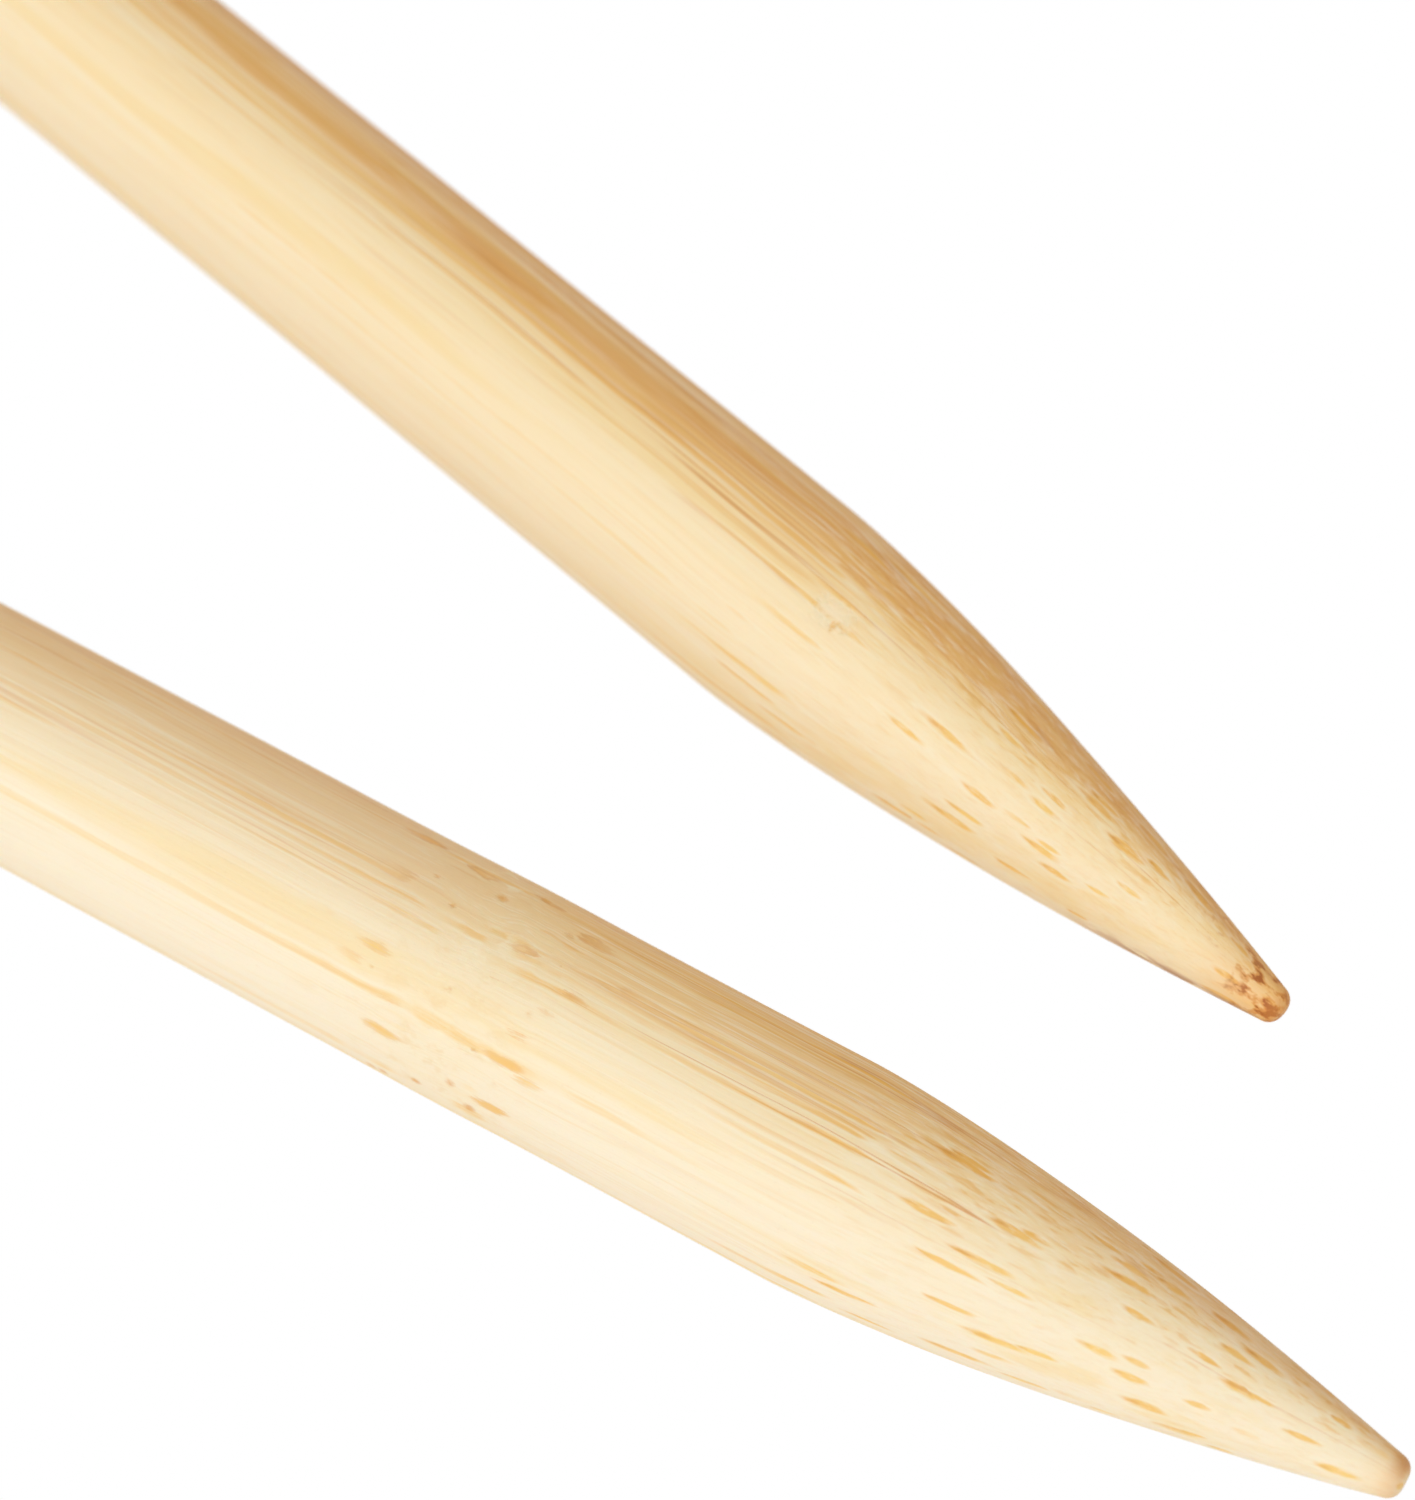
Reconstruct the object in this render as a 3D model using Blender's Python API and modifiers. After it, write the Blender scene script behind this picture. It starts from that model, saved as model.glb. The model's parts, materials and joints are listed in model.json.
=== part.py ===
"""Circular knitting needle: two bamboo tips joined by a round nylon cable that swivels in both joins.

Units are metres, +Z is up. The tips point towards +X and converge a little. The right needle is
the one on the -Y side. The origin is on the resting plane, under the middle of the assembly.
"""

import math

import bmesh
import bpy
import numpy as np
from mathutils import Matrix, Vector

for old in list(bpy.data.objects):
    bpy.data.objects.remove(old, do_unlink=True)

MM = 0.001

# ---- clearances ----
GAP = 0.3 * MM  # along the axis, between pieces that turn
FIXED_GAP = 0.05 * MM  # round pieces that don't turn, and at the ferrule's shoulder
BORE_GAP = 0.1 * MM  # round the stem in the bush and the cable in its socket

# ---- join: ferrule, bush, washer and end fitting ----
BUTT_R = 2.75 * MM
SPIGOT_R = 2.0 * MM
SPIGOT_LENGTH = 13.0 * MM
SPIGOT_CHAMFER = 0.3 * MM
FERRULE_LENGTH = 11.0 * MM
FERRULE_MOUTH_R = 2.35 * MM
CHAMBER_R = 1.6 * MM
CHAMBER_DEPTH = 4.0 * MM  # above the butt face
BUSH_R = 1.85 * MM
BUSH_LENGTH = 3.6 * MM
BUSH_INSET = 0.1 * MM
BUSH_CHAMFER = 0.15 * MM
BUSH_BORE_CHAMFER = 0.12 * MM
COUNTERBORE_R = BUSH_R + FIXED_GAP
COUNTERBORE_DEPTH = BUSH_LENGTH + 0.2 * MM
STEM_R = 0.9 * MM
STEM_HEAD_R = 1.45 * MM
STEM_HEAD_LENGTH = 1.6 * MM
STEM_HEAD_CHAMFER = 0.3 * MM
BUSH_BORE_R = STEM_R + BORE_GAP
WASHER_R = STEM_HEAD_R
WASHER_THICK = 0.8 * MM
FITTING_R = 2.3 * MM
FITTING_LENGTH = 10.0 * MM

# ---- cable ----
CABLE_R = 1.5 * MM
CABLE_FREE = 330.0 * MM  # length between the two end fittings
CABLE_SEGMENTS = 20
SEGMENT_GAP = 0.5 * MM
SEGMENT_EDGE = 1.2 * MM  # rounding of each segment's end
ROUND_STEPS = 4
BODY_STATIONS = 8  # evenly spaced; the first and last give way to the segment's ends
SOCKET_R = CABLE_R + BORE_GAP
SOCKET_DEPTH = 7.0 * MM
SOCKET_RADIAL_CHAMFER = 0.08 * MM
SOCKET_AXIAL_CHAMFER = 0.2 * MM
CABLE_INSERTED = SOCKET_DEPTH - 0.2 * MM

# ---- bamboo tips ----
NEEDLE_R = 5.0 * MM
TIP_LENGTH = 125.0 * MM
TAPER_LENGTH = 27.5 * MM
TAPER_POWER = 1.47
TAPER_STEPS = 16
TAPER_SPACING_POWER = 1.1  # above 1 packs the stations towards the point
POINT_R = 0.8 * MM
POINT_CORNER = 0.25 * MM
POINT_CORNER_DEGREES = (90.0, 66.0, 42.0, 18.0)
BUTT_LENGTH = 16.0 * MM
BUTT_STEPS = 9
BORE_R = SPIGOT_R + FIXED_GAP
BORE_DEPTH = 14.0 * MM

# ---- how the needle lies when it is put down ----
TIP_SPREAD = 13.94 * MM
TIP_STAGGER = 15.2 * MM
CONVERGE = math.radians(12.96)
CABLE_DROP = 90.0 * MM  # length of cable that comes down from each join to the table

# ---- meshing ----
SIDES = 40
TURNED_SHARP = 35.0
CABLE_SHARP = 50.0
SCREW_MERGE = 0.01 * MM
WELD_MERGE = 0.002 * MM

# ---- heights on a needle's axis: 0 at the bamboo's butt face, +Z towards the point ----
FERRULE_MOUTH = -FERRULE_LENGTH
BUSH_LOW = FERRULE_MOUTH + BUSH_INSET
BUSH_TOP = BUSH_LOW + BUSH_LENGTH
WASHER_LOW = BUSH_TOP + GAP
WASHER_TOP = WASHER_LOW + WASHER_THICK
STEM_HEAD_LOW = WASHER_TOP + GAP
STEM_HEAD_TOP = STEM_HEAD_LOW + STEM_HEAD_LENGTH
FITTING_TOP = FERRULE_MOUTH - GAP
FITTING_END = FITTING_TOP - FITTING_LENGTH
SWIVEL = FERRULE_MOUTH + BUSH_LENGTH / 2

# Height of a needle's axis above the table, with a flat of its many-sided surface facing down.
AXIS_Z = NEEDLE_R * math.cos(math.pi / SIDES)

# Outside of the ferrule with its groove: (mm inside BUTT_R, mm below the butt face).
FERRULE_OUTSIDE = (
    (0.0, 1.6), (0.22, 1.8), (0.22, 2.4), (0.04, 2.6), (0.20, 6.6),
)
# Outside of the end fitting with its two grooves: (mm inside FITTING_R, mm below its top).
FITTING_OUTSIDE = (
    (0.25, 0.0), (0.0, 0.25), (0.0, 3.2), (0.28, 3.7), (0.28, 4.7), (0.04, 5.2),
    (0.04, 6.4), (0.30, 6.9), (0.30, 7.9), (0.10, 8.4),
)

PARTS = bpy.data.collections.new("circular_knitting_needle")
bpy.context.scene.collection.children.link(PARTS)


def material(name, colour, roughness, metallic=0.0, transmission=0.0):
    mat = bpy.data.materials.new(name)
    mat.use_nodes = True
    inputs = mat.node_tree.nodes["Principled BSDF"].inputs
    inputs["Base Color"].default_value = (*colour, 1.0)
    inputs["Roughness"].default_value = roughness
    inputs["Metallic"].default_value = metallic
    inputs["Transmission Weight"].default_value = transmission
    return mat


BAMBOO = material("bamboo", colour=(0.83, 0.63, 0.38), roughness=0.42)
NICKEL = material("nickel_plated_brass", colour=(0.72, 0.70, 0.66), roughness=0.28, metallic=1.0)
STEEL = material("stainless_steel", colour=(0.60, 0.60, 0.61), roughness=0.30, metallic=1.0)
BRASS = material("brass", colour=(0.78, 0.58, 0.26), roughness=0.30, metallic=1.0)
ACETAL = material("white_acetal", colour=(0.90, 0.90, 0.87), roughness=0.45)
NYLON = material("clear_nylon", colour=(0.80, 0.83, 0.84), roughness=0.22, transmission=0.4)


# ---- building and parenting objects ----
def new_object(name, data):
    obj = bpy.data.objects.new(name, data)
    PARTS.objects.link(obj)
    return obj


def finish(name, blank, mat, sharp_degrees):
    """Replaces the blank by a mesh of its evaluated shape, smooth between its sharp edges."""
    bpy.context.view_layer.update()
    graph = bpy.context.evaluated_depsgraph_get()
    mesh = bpy.data.meshes.new_from_object(blank.evaluated_get(graph))
    mesh.name = name
    bm = bmesh.new()
    bm.from_mesh(mesh)
    bmesh.ops.remove_doubles(bm, verts=bm.verts[:], dist=WELD_MERGE)
    bmesh.ops.recalc_face_normals(bm, faces=bm.faces[:])
    bm.to_mesh(mesh)
    bm.free()
    mesh.shade_smooth()
    mesh.set_sharp_from_angle(angle=math.radians(sharp_degrees))
    mesh.materials.append(mat)
    obj = new_object(name, mesh)
    obj.matrix_world = blank.matrix_world.copy()
    source = blank.data
    bpy.data.objects.remove(blank, do_unlink=True)
    is_curve = isinstance(source, bpy.types.Curve)
    (bpy.data.curves if is_curve else bpy.data.meshes).remove(source)
    return obj


def turned(name, profile, mat):
    """A turned solid from a profile of (radius, height).

    The profile runs from the top, down the outside, and back up any bore. One that starts
    off the axis is closed into a ring.
    """
    line = bpy.data.meshes.new(name + "_profile")
    bm = bmesh.new()
    verts = [bm.verts.new((radius, 0.0, z)) for radius, z in profile]
    for pair in zip(verts[:-1], verts[1:]):
        bm.edges.new(pair)
    if profile[0][0] > 0.0:
        bm.edges.new((verts[-1], verts[0]))
    bm.to_mesh(line)
    bm.free()
    blank = new_object(name + "_blank", line)
    screw = blank.modifiers.new("Turn", "SCREW")
    screw.axis = "Z"
    screw.steps = screw.render_steps = SIDES
    screw.use_merge_vertices = True
    screw.merge_threshold = SCREW_MERGE
    screw.use_smooth_shade = True
    return finish(name, blank, mat, TURNED_SHARP)


def attach(obj, parent):
    """Parents an object and keeps it where it is."""
    bpy.context.view_layer.update()
    world = obj.matrix_world.copy()
    obj.parent = parent
    obj.matrix_parent_inverse = parent.matrix_world.inverted()
    obj.matrix_world = world
    bpy.context.view_layer.update()


def joint(name, location, parent=None):
    """An empty that the pieces beyond a joint hang from."""
    obj = new_object(name, None)
    obj.empty_display_size = 0.01
    obj.location = location
    if parent is not None:
        attach(obj, parent)
    return obj


# ---- profiles of the turned pieces ----
def ease(share):
    """Goes from 0 to 1, level at both ends."""
    return share * share * (3.0 - 2.0 * share)


def taper_radius(back):
    """Radius at a distance behind the point."""
    # Rounding can take the last station just past the taper, so the share is kept from below 0.
    share = max(0.0, 1.0 - back / TAPER_LENGTH)
    return POINT_R + (NEEDLE_R - POINT_R) * (1.0 - share**TAPER_POWER)


def bamboo_profile():
    """Rounded point, taper, straight body, and a waist down to the bored butt."""
    points = [(0.0, TIP_LENGTH)]
    for degrees in POINT_CORNER_DEGREES:
        angle = math.radians(degrees)
        radius = POINT_R - POINT_CORNER + POINT_CORNER * math.cos(angle)
        points.append((radius, TIP_LENGTH - POINT_CORNER * (1.0 - math.sin(angle))))
    for i in range(1, TAPER_STEPS + 1):
        share = (i / TAPER_STEPS) ** TAPER_SPACING_POWER
        back = POINT_CORNER + (TAPER_LENGTH - POINT_CORNER) * share
        points.append((taper_radius(back), TIP_LENGTH - back))
    for i in range(BUTT_STEPS + 1):
        share = i / BUTT_STEPS
        radius = NEEDLE_R + (BUTT_R - NEEDLE_R) * ease(share)
        points.append((radius, BUTT_LENGTH * (1.0 - share)))
    return points + [(BORE_R, 0.0), (BORE_R, BORE_DEPTH), (0.0, BORE_DEPTH)]


def ferrule_profile():
    """Spigot in the bamboo, shoulder at its butt, and a swivel chamber open at the mouth."""
    return [
        (0.0, SPIGOT_LENGTH),
        (SPIGOT_R - SPIGOT_CHAMFER, SPIGOT_LENGTH),
        (SPIGOT_R, SPIGOT_LENGTH - SPIGOT_CHAMFER),
        (SPIGOT_R, -FIXED_GAP),
        (BUTT_R, -FIXED_GAP),
        *((BUTT_R - inset * MM, -below * MM) for inset, below in FERRULE_OUTSIDE),
        # The lip draws in towards the mouth.
        (FERRULE_MOUTH_R, FERRULE_MOUTH + 0.9 * MM),
        (FERRULE_MOUTH_R - 0.05 * MM, FERRULE_MOUTH + 0.25 * MM),
        (FERRULE_MOUTH_R - 0.2 * MM, FERRULE_MOUTH),
        (COUNTERBORE_R, FERRULE_MOUTH),
        (COUNTERBORE_R, FERRULE_MOUTH + COUNTERBORE_DEPTH),
        (CHAMBER_R, FERRULE_MOUTH + COUNTERBORE_DEPTH),
        (CHAMBER_R, CHAMBER_DEPTH),
        (0.0, CHAMBER_DEPTH),
    ]


def bush_profile():
    """Ring in the ferrule's mouth that the stem turns in."""
    return [
        (BUSH_R - BUSH_CHAMFER, BUSH_TOP),
        (BUSH_R, BUSH_TOP - BUSH_CHAMFER),
        (BUSH_R, BUSH_LOW),
        (BUSH_BORE_R + BUSH_BORE_CHAMFER, BUSH_LOW),
        (BUSH_BORE_R, BUSH_LOW + BUSH_BORE_CHAMFER),
        (BUSH_BORE_R, BUSH_TOP),
    ]


def washer_profile():
    """Flat ring between the bush and the stem's head."""
    return [
        (WASHER_R, WASHER_TOP),
        (WASHER_R, WASHER_LOW),
        (BUSH_BORE_R, WASHER_LOW),
        (BUSH_BORE_R, WASHER_TOP),
    ]


def fitting_profile():
    """Headed stem that turns in the bush, and the socket that is crimped on the cable."""
    return [
        (0.0, STEM_HEAD_TOP),
        (STEM_HEAD_R - STEM_HEAD_CHAMFER, STEM_HEAD_TOP),
        (STEM_HEAD_R, STEM_HEAD_TOP - STEM_HEAD_CHAMFER),
        (STEM_HEAD_R, STEM_HEAD_LOW),
        (STEM_R, STEM_HEAD_LOW),
        (STEM_R, FITTING_TOP),
        *((FITTING_R - inset * MM, FITTING_TOP - below * MM) for inset, below in FITTING_OUTSIDE),
        # Chamfered rim at the cable's end of the fitting.
        (FITTING_R - 0.22 * MM, FITTING_END + 0.3 * MM),
        (FITTING_R - 0.45 * MM, FITTING_END),
        (SOCKET_R + SOCKET_RADIAL_CHAMFER, FITTING_END),
        (SOCKET_R, FITTING_END + SOCKET_AXIAL_CHAMFER),
        (SOCKET_R, FITTING_END + SOCKET_DEPTH),
        (0.0, FITTING_END + SOCKET_DEPTH),
    ]


# ---- the cable's path in plan, from the right fitting round to the left one ----
def heading(angle):
    return np.array([math.cos(angle), math.sin(angle)])


RIGHT_DIRECTION = heading(CONVERGE / 2)
LEFT_DIRECTION = heading(-CONVERGE / 2)
RIGHT_TIP = np.array([TIP_STAGGER / 2, -TIP_SPREAD / 2])
LEFT_TIP = -RIGHT_TIP
RIGHT_EXIT = RIGHT_TIP - RIGHT_DIRECTION * (TIP_LENGTH - FITTING_END)
LEFT_EXIT = LEFT_TIP - LEFT_DIRECTION * (TIP_LENGTH - FITTING_END)

PATH_STEPS = 4000
PATH_S = np.linspace(0.0, CABLE_FREE, PATH_STEPS + 1)
START_ANGLE = math.pi + CONVERGE / 2
TOTAL_TURN = -(math.pi + CONVERGE)
WAVE_GUESS = (10.0, 0.0)  # cosine and sine parts of the wave in curvature, per metre
SOLVER_ROUNDS = 40
SOLVER_NUDGE = 1e-4


def path_angle(wave):
    """Heading along a sprung cable: an even bend plus one slow wave.

    The wave leaves both ends tangent to the tips.
    """
    rate = 2.0 * math.pi / CABLE_FREE
    even_bend = START_ANGLE + TOTAL_TURN * PATH_S / CABLE_FREE
    cosine_part = wave[0] / rate * np.sin(rate * PATH_S)
    sine_part = wave[1] / rate * (1.0 - np.cos(rate * PATH_S))
    return even_bend + cosine_part + sine_part


def running_sum(slope):
    """Integral of a slope from the path's start to each of its stations."""
    step = CABLE_FREE / PATH_STEPS
    return np.concatenate([[0.0], np.cumsum((slope[1:] + slope[:-1]) / 2 * step)])


def path_points(wave):
    angle = path_angle(wave)
    x = RIGHT_EXIT[0] + running_sum(np.cos(angle))
    y = RIGHT_EXIT[1] + running_sum(np.sin(angle))
    return x, y


def path_miss(wave):
    """How far the path's end lies from the left fitting."""
    x, y = path_points(wave)
    return np.array([x[-1], y[-1]]) - LEFT_EXIT


def solve_wave():
    """Newton's method for the wave that brings the path to the left fitting."""
    wave = np.array(WAVE_GUESS)
    for _ in range(SOLVER_ROUNDS):
        miss = path_miss(wave)
        nudges = SOLVER_NUDGE * np.eye(2)
        columns = [(path_miss(wave + nudge) - miss) / SOLVER_NUDGE for nudge in nudges]
        wave = wave - np.linalg.solve(np.stack(columns, axis=1), miss)
    return wave


WAVE = solve_wave()
PATH_X, PATH_Y = path_points(WAVE)
PATH_ANGLE = path_angle(WAVE)

# Brings the middle of the assembly to the origin. The cable sets every side but +X.
LOW_X = PATH_X.min() - CABLE_R
HIGH_X = RIGHT_TIP[0] + POINT_R * math.sin(CONVERGE / 2)
SHIFT = -np.array([LOW_X + HIGH_X, PATH_Y.min() + PATH_Y.max()]) / 2


def cable_height(s):
    """Height of the cable's centre: level with the tip at each join, then down to the table."""
    near = min(s, CABLE_FREE - s)
    return AXIS_Z + (CABLE_R - AXIS_Z) * ease(min(near / CABLE_DROP, 1.0))


def cable_point(s):
    """Centre of the cable at a length along it, also a little way inside each socket."""
    on_path = min(max(s, 0.0), CABLE_FREE)
    angle = np.interp(on_path, PATH_S, PATH_ANGLE)
    x = np.interp(on_path, PATH_S, PATH_X) + SHIFT[0] + math.cos(angle) * (s - on_path)
    y = np.interp(on_path, PATH_S, PATH_Y) + SHIFT[1] + math.sin(angle) * (s - on_path)
    return Vector((float(x), float(y), cable_height(on_path)))


def needle_frame(tip, direction):
    """Frame with its origin on the butt face, +Z along the needle and a flat facing down."""
    along = Vector((*direction, 0.0))
    half_side = math.pi / SIDES
    down = Vector((0.0, 0.0, -1.0))
    x_axis = down * math.cos(half_side) + along.cross(down) * math.sin(half_side)
    frame = Matrix((x_axis, along.cross(x_axis), along)).transposed().to_4x4()
    frame.translation = Vector((*(tip + SHIFT), AXIS_Z)) - along * TIP_LENGTH
    return frame


# ---- the joints, from the right needle round to the left one ----
right_frame = needle_frame(RIGHT_TIP, RIGHT_DIRECTION)
left_frame = needle_frame(LEFT_TIP, LEFT_DIRECTION)
swivel_point = Vector((0.0, 0.0, SWIVEL))

right_needle = joint("right_needle", right_frame.translation)
hinges = [joint("right_swivel", right_frame @ swivel_point, right_needle)]
for i in range(1, CABLE_SEGMENTS):
    point = cable_point(CABLE_FREE * i / CABLE_SEGMENTS)
    hinges.append(joint("cable_hinge_%02d" % i, point, hinges[-1]))
left_swivel = joint("left_swivel", left_frame @ swivel_point, hinges[-1])


# ---- both needles and their joins ----
def build_side(side, frame, tip_parent, cable_parent):
    """Turned pieces of one side, each with its origin at the swivel."""
    for suffix, profile, mat, parent in (
        ("_bamboo_tip", bamboo_profile(), BAMBOO, tip_parent),
        ("_ferrule", ferrule_profile(), NICKEL, tip_parent),
        ("_retaining_bush", bush_profile(), BRASS, tip_parent),
        ("_thrust_washer", washer_profile(), ACETAL, cable_parent),
        ("_cable_end_fitting", fitting_profile(), STEEL, cable_parent),
    ):
        piece = turned(side + suffix, profile, mat)
        piece.data.transform(Matrix.Translation(-swivel_point))
        piece.matrix_world = frame @ Matrix.Translation(swivel_point)
        attach(piece, parent)


build_side("right", right_frame, right_needle, hinges[0])
build_side("left", left_frame, left_swivel, hinges[-1])


# ---- the cable, as short lengths that meet at the hinges ----
def rounded_end():
    """Stations of a rounded end: (distance behind the end face, radius), from the face inwards."""
    stations = []
    for k in range(ROUND_STEPS + 1):
        angle = math.pi / 2 * k / ROUND_STEPS
        radius = CABLE_R - SEGMENT_EDGE + SEGMENT_EDGE * math.sin(angle)
        stations.append((SEGMENT_EDGE * (1.0 - math.cos(angle)), radius))
    return stations


def segment_stations(i):
    """Stations (length along the cable, radius). The outermost ends run square into the sockets."""
    start = CABLE_FREE * i / CABLE_SEGMENTS + SEGMENT_GAP / 2
    end = CABLE_FREE * (i + 1) / CABLE_SEGMENTS - SEGMENT_GAP / 2
    first = [(start + back, radius) for back, radius in rounded_end()]
    last = [(end - back, radius) for back, radius in reversed(rounded_end())]
    if i == 0:
        first = [(-CABLE_INSERTED * share, CABLE_R) for share in (1.0, 0.5, 0.0)]
    if i == CABLE_SEGMENTS - 1:
        last = [(CABLE_FREE + CABLE_INSERTED * share, CABLE_R) for share in (0.0, 0.5, 1.0)]
    body = [(float(s), CABLE_R) for s in np.linspace(start, end, BODY_STATIONS)[1:-1]]
    return first + body + last


def cable_segment(i):
    name = "cable_segment_%02d" % (i + 1)
    pivot = hinges[i].matrix_world.translation.copy()
    stations = segment_stations(i)
    curve = bpy.data.curves.new(name + "_line", "CURVE")
    curve.dimensions = "3D"
    curve.twist_mode = "Z_UP"
    curve.bevel_depth = CABLE_R
    curve.bevel_resolution = 3
    curve.use_fill_caps = True
    spline = curve.splines.new("POLY")
    spline.points.add(len(stations) - 1)
    for point, (s, radius) in zip(spline.points, stations):
        point.co = (*(cable_point(s) - pivot), 1.0)
        point.radius = radius / CABLE_R
    blank = new_object(name + "_blank", curve)
    blank.location = pivot
    weld = blank.modifiers.new("Weld", "WELD")
    weld.merge_threshold = WELD_MERGE
    attach(finish(name, blank, NYLON, CABLE_SHARP), hinges[i])


for i in range(CABLE_SEGMENTS):
    cable_segment(i)
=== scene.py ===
"""A circular knitting needle: bamboo tips, turned metal joins and a milky nylon cable.

The swivel joints give each needle's axis, and the hinges between them give the cable's line.
Sizes are in millimetres unless a name or comment says otherwise. Each made piece is described
across, up and along its axis, with the needles pointing along +z from their butt faces.
It stores those coordinates in a "grain" attribute, and its textures are solid ones in them,
so fibres show as long streaks on the shaft and as short flecks where the taper cuts them.
"""

import bpy
import bmesh
import json
import math
import numpy as np
from mathutils import Matrix, Vector


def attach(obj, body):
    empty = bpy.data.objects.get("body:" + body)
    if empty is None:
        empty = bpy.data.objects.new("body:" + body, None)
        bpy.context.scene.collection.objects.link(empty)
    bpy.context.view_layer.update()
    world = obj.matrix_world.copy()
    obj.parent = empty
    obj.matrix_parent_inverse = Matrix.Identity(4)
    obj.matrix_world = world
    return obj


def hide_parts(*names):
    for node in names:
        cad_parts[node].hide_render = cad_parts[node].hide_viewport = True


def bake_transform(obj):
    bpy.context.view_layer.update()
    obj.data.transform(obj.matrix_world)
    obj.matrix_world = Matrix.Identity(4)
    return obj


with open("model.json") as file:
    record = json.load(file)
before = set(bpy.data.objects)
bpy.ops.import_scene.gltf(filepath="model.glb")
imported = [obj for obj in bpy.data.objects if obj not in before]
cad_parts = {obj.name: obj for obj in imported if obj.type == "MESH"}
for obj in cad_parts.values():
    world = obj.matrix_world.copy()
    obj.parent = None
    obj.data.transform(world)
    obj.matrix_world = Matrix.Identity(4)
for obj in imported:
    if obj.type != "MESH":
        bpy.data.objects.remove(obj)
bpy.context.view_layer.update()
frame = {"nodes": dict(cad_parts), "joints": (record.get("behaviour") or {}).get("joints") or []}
MM = 0.001
UP = Vector((0.0, 0.0, 1.0))
SIDES = ("right", "left")

# ---- needle, ferrule and end fitting ----
TIP_LENGTH = 125.0
SHAFT_R = 5.0
BUTT_LENGTH = 16.0
BUTT_R = 2.75
BORE_R = 2.05
BORE_DEPTH = 14.0
SWIVEL_AT = 9.2  # from the butt face back to the swivel
FERRULE_LENGTH = 11.0
FITTING_START = 11.3
FITTING_LENGTH = 10.0
CABLE_EXIT = FITTING_START + FITTING_LENGTH
HEAD_INSET = 5.1  # from the ferrule's mouth to the near face of the fitting's head
STEM_JOINT_AT = 82.5  # joint of the bamboo stem, on the right needle only

# ---- cable ----
CABLE_R = 1.5
CABLE_LENGTHS = 20
PITCH = 16.5 * MM
INSIDE_FITTING = 6.8 * MM

joints = {j["child"]: j for j in frame["joints"]}
SWIVELS = {"right": joints["cable_01"], "left": joints["left_needle"]}


def needle_frame(side):
    """Millimetre frame on a needle's butt face: x across, y up, z towards the point."""
    along = Vector(SWIVELS[side]["axis"]).normalized()
    across = UP.cross(along).normalized()
    matrix = Matrix((across, along.cross(across), along)).transposed().to_4x4()
    matrix.translation = Vector(SWIVELS[side]["pos_m"]) + along * SWIVEL_AT * MM
    return matrix @ Matrix.Scale(MM, 4)


FRAMES = {side: needle_frame(side) for side in SIDES}


# ======================================================================================
# Shader graphs
# ======================================================================================
def srgb(*channels):
    """Linear colour from three 0-255 channels."""

    def linear(channel):
        share = channel / 255.0
        return share / 12.92 if share <= 0.04045 else ((share + 0.055) / 1.055) ** 2.4

    return (*map(linear, channels), 1.0)


class Value:
    """A shader output. Arithmetic on it adds Math nodes."""

    def __init__(self, graph, socket):
        self.graph = graph
        self.socket = socket

    def __add__(self, other):
        return self.graph.math("ADD", self, other)

    def __radd__(self, other):
        return self.graph.math("ADD", other, self)

    def __sub__(self, other):
        return self.graph.math("SUBTRACT", self, other)

    def __rsub__(self, other):
        return self.graph.math("SUBTRACT", other, self)

    def __mul__(self, other):
        return self.graph.math("MULTIPLY", self, other)

    def __truediv__(self, other):
        return self.graph.math("DIVIDE", self, other)

    def __abs__(self):
        return self.graph.math("ABSOLUTE", self)

    def between(self, low, high, start=0.0, full=1.0, **props):
        """low where this is at start, high where it is at full, and clamped beyond them."""
        limits = {"From Min": start, "From Max": full, "To Min": low, "To Max": high}
        return self.graph.value("ShaderNodeMapRange", {"Value": self, **limits}, **props)

    def ramp(self, start, full, low=0.0, high=1.0):
        """The same with a smooth step; start may be above full."""
        return self.between(low, high, start, full, interpolation_type="SMOOTHSTEP")


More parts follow.
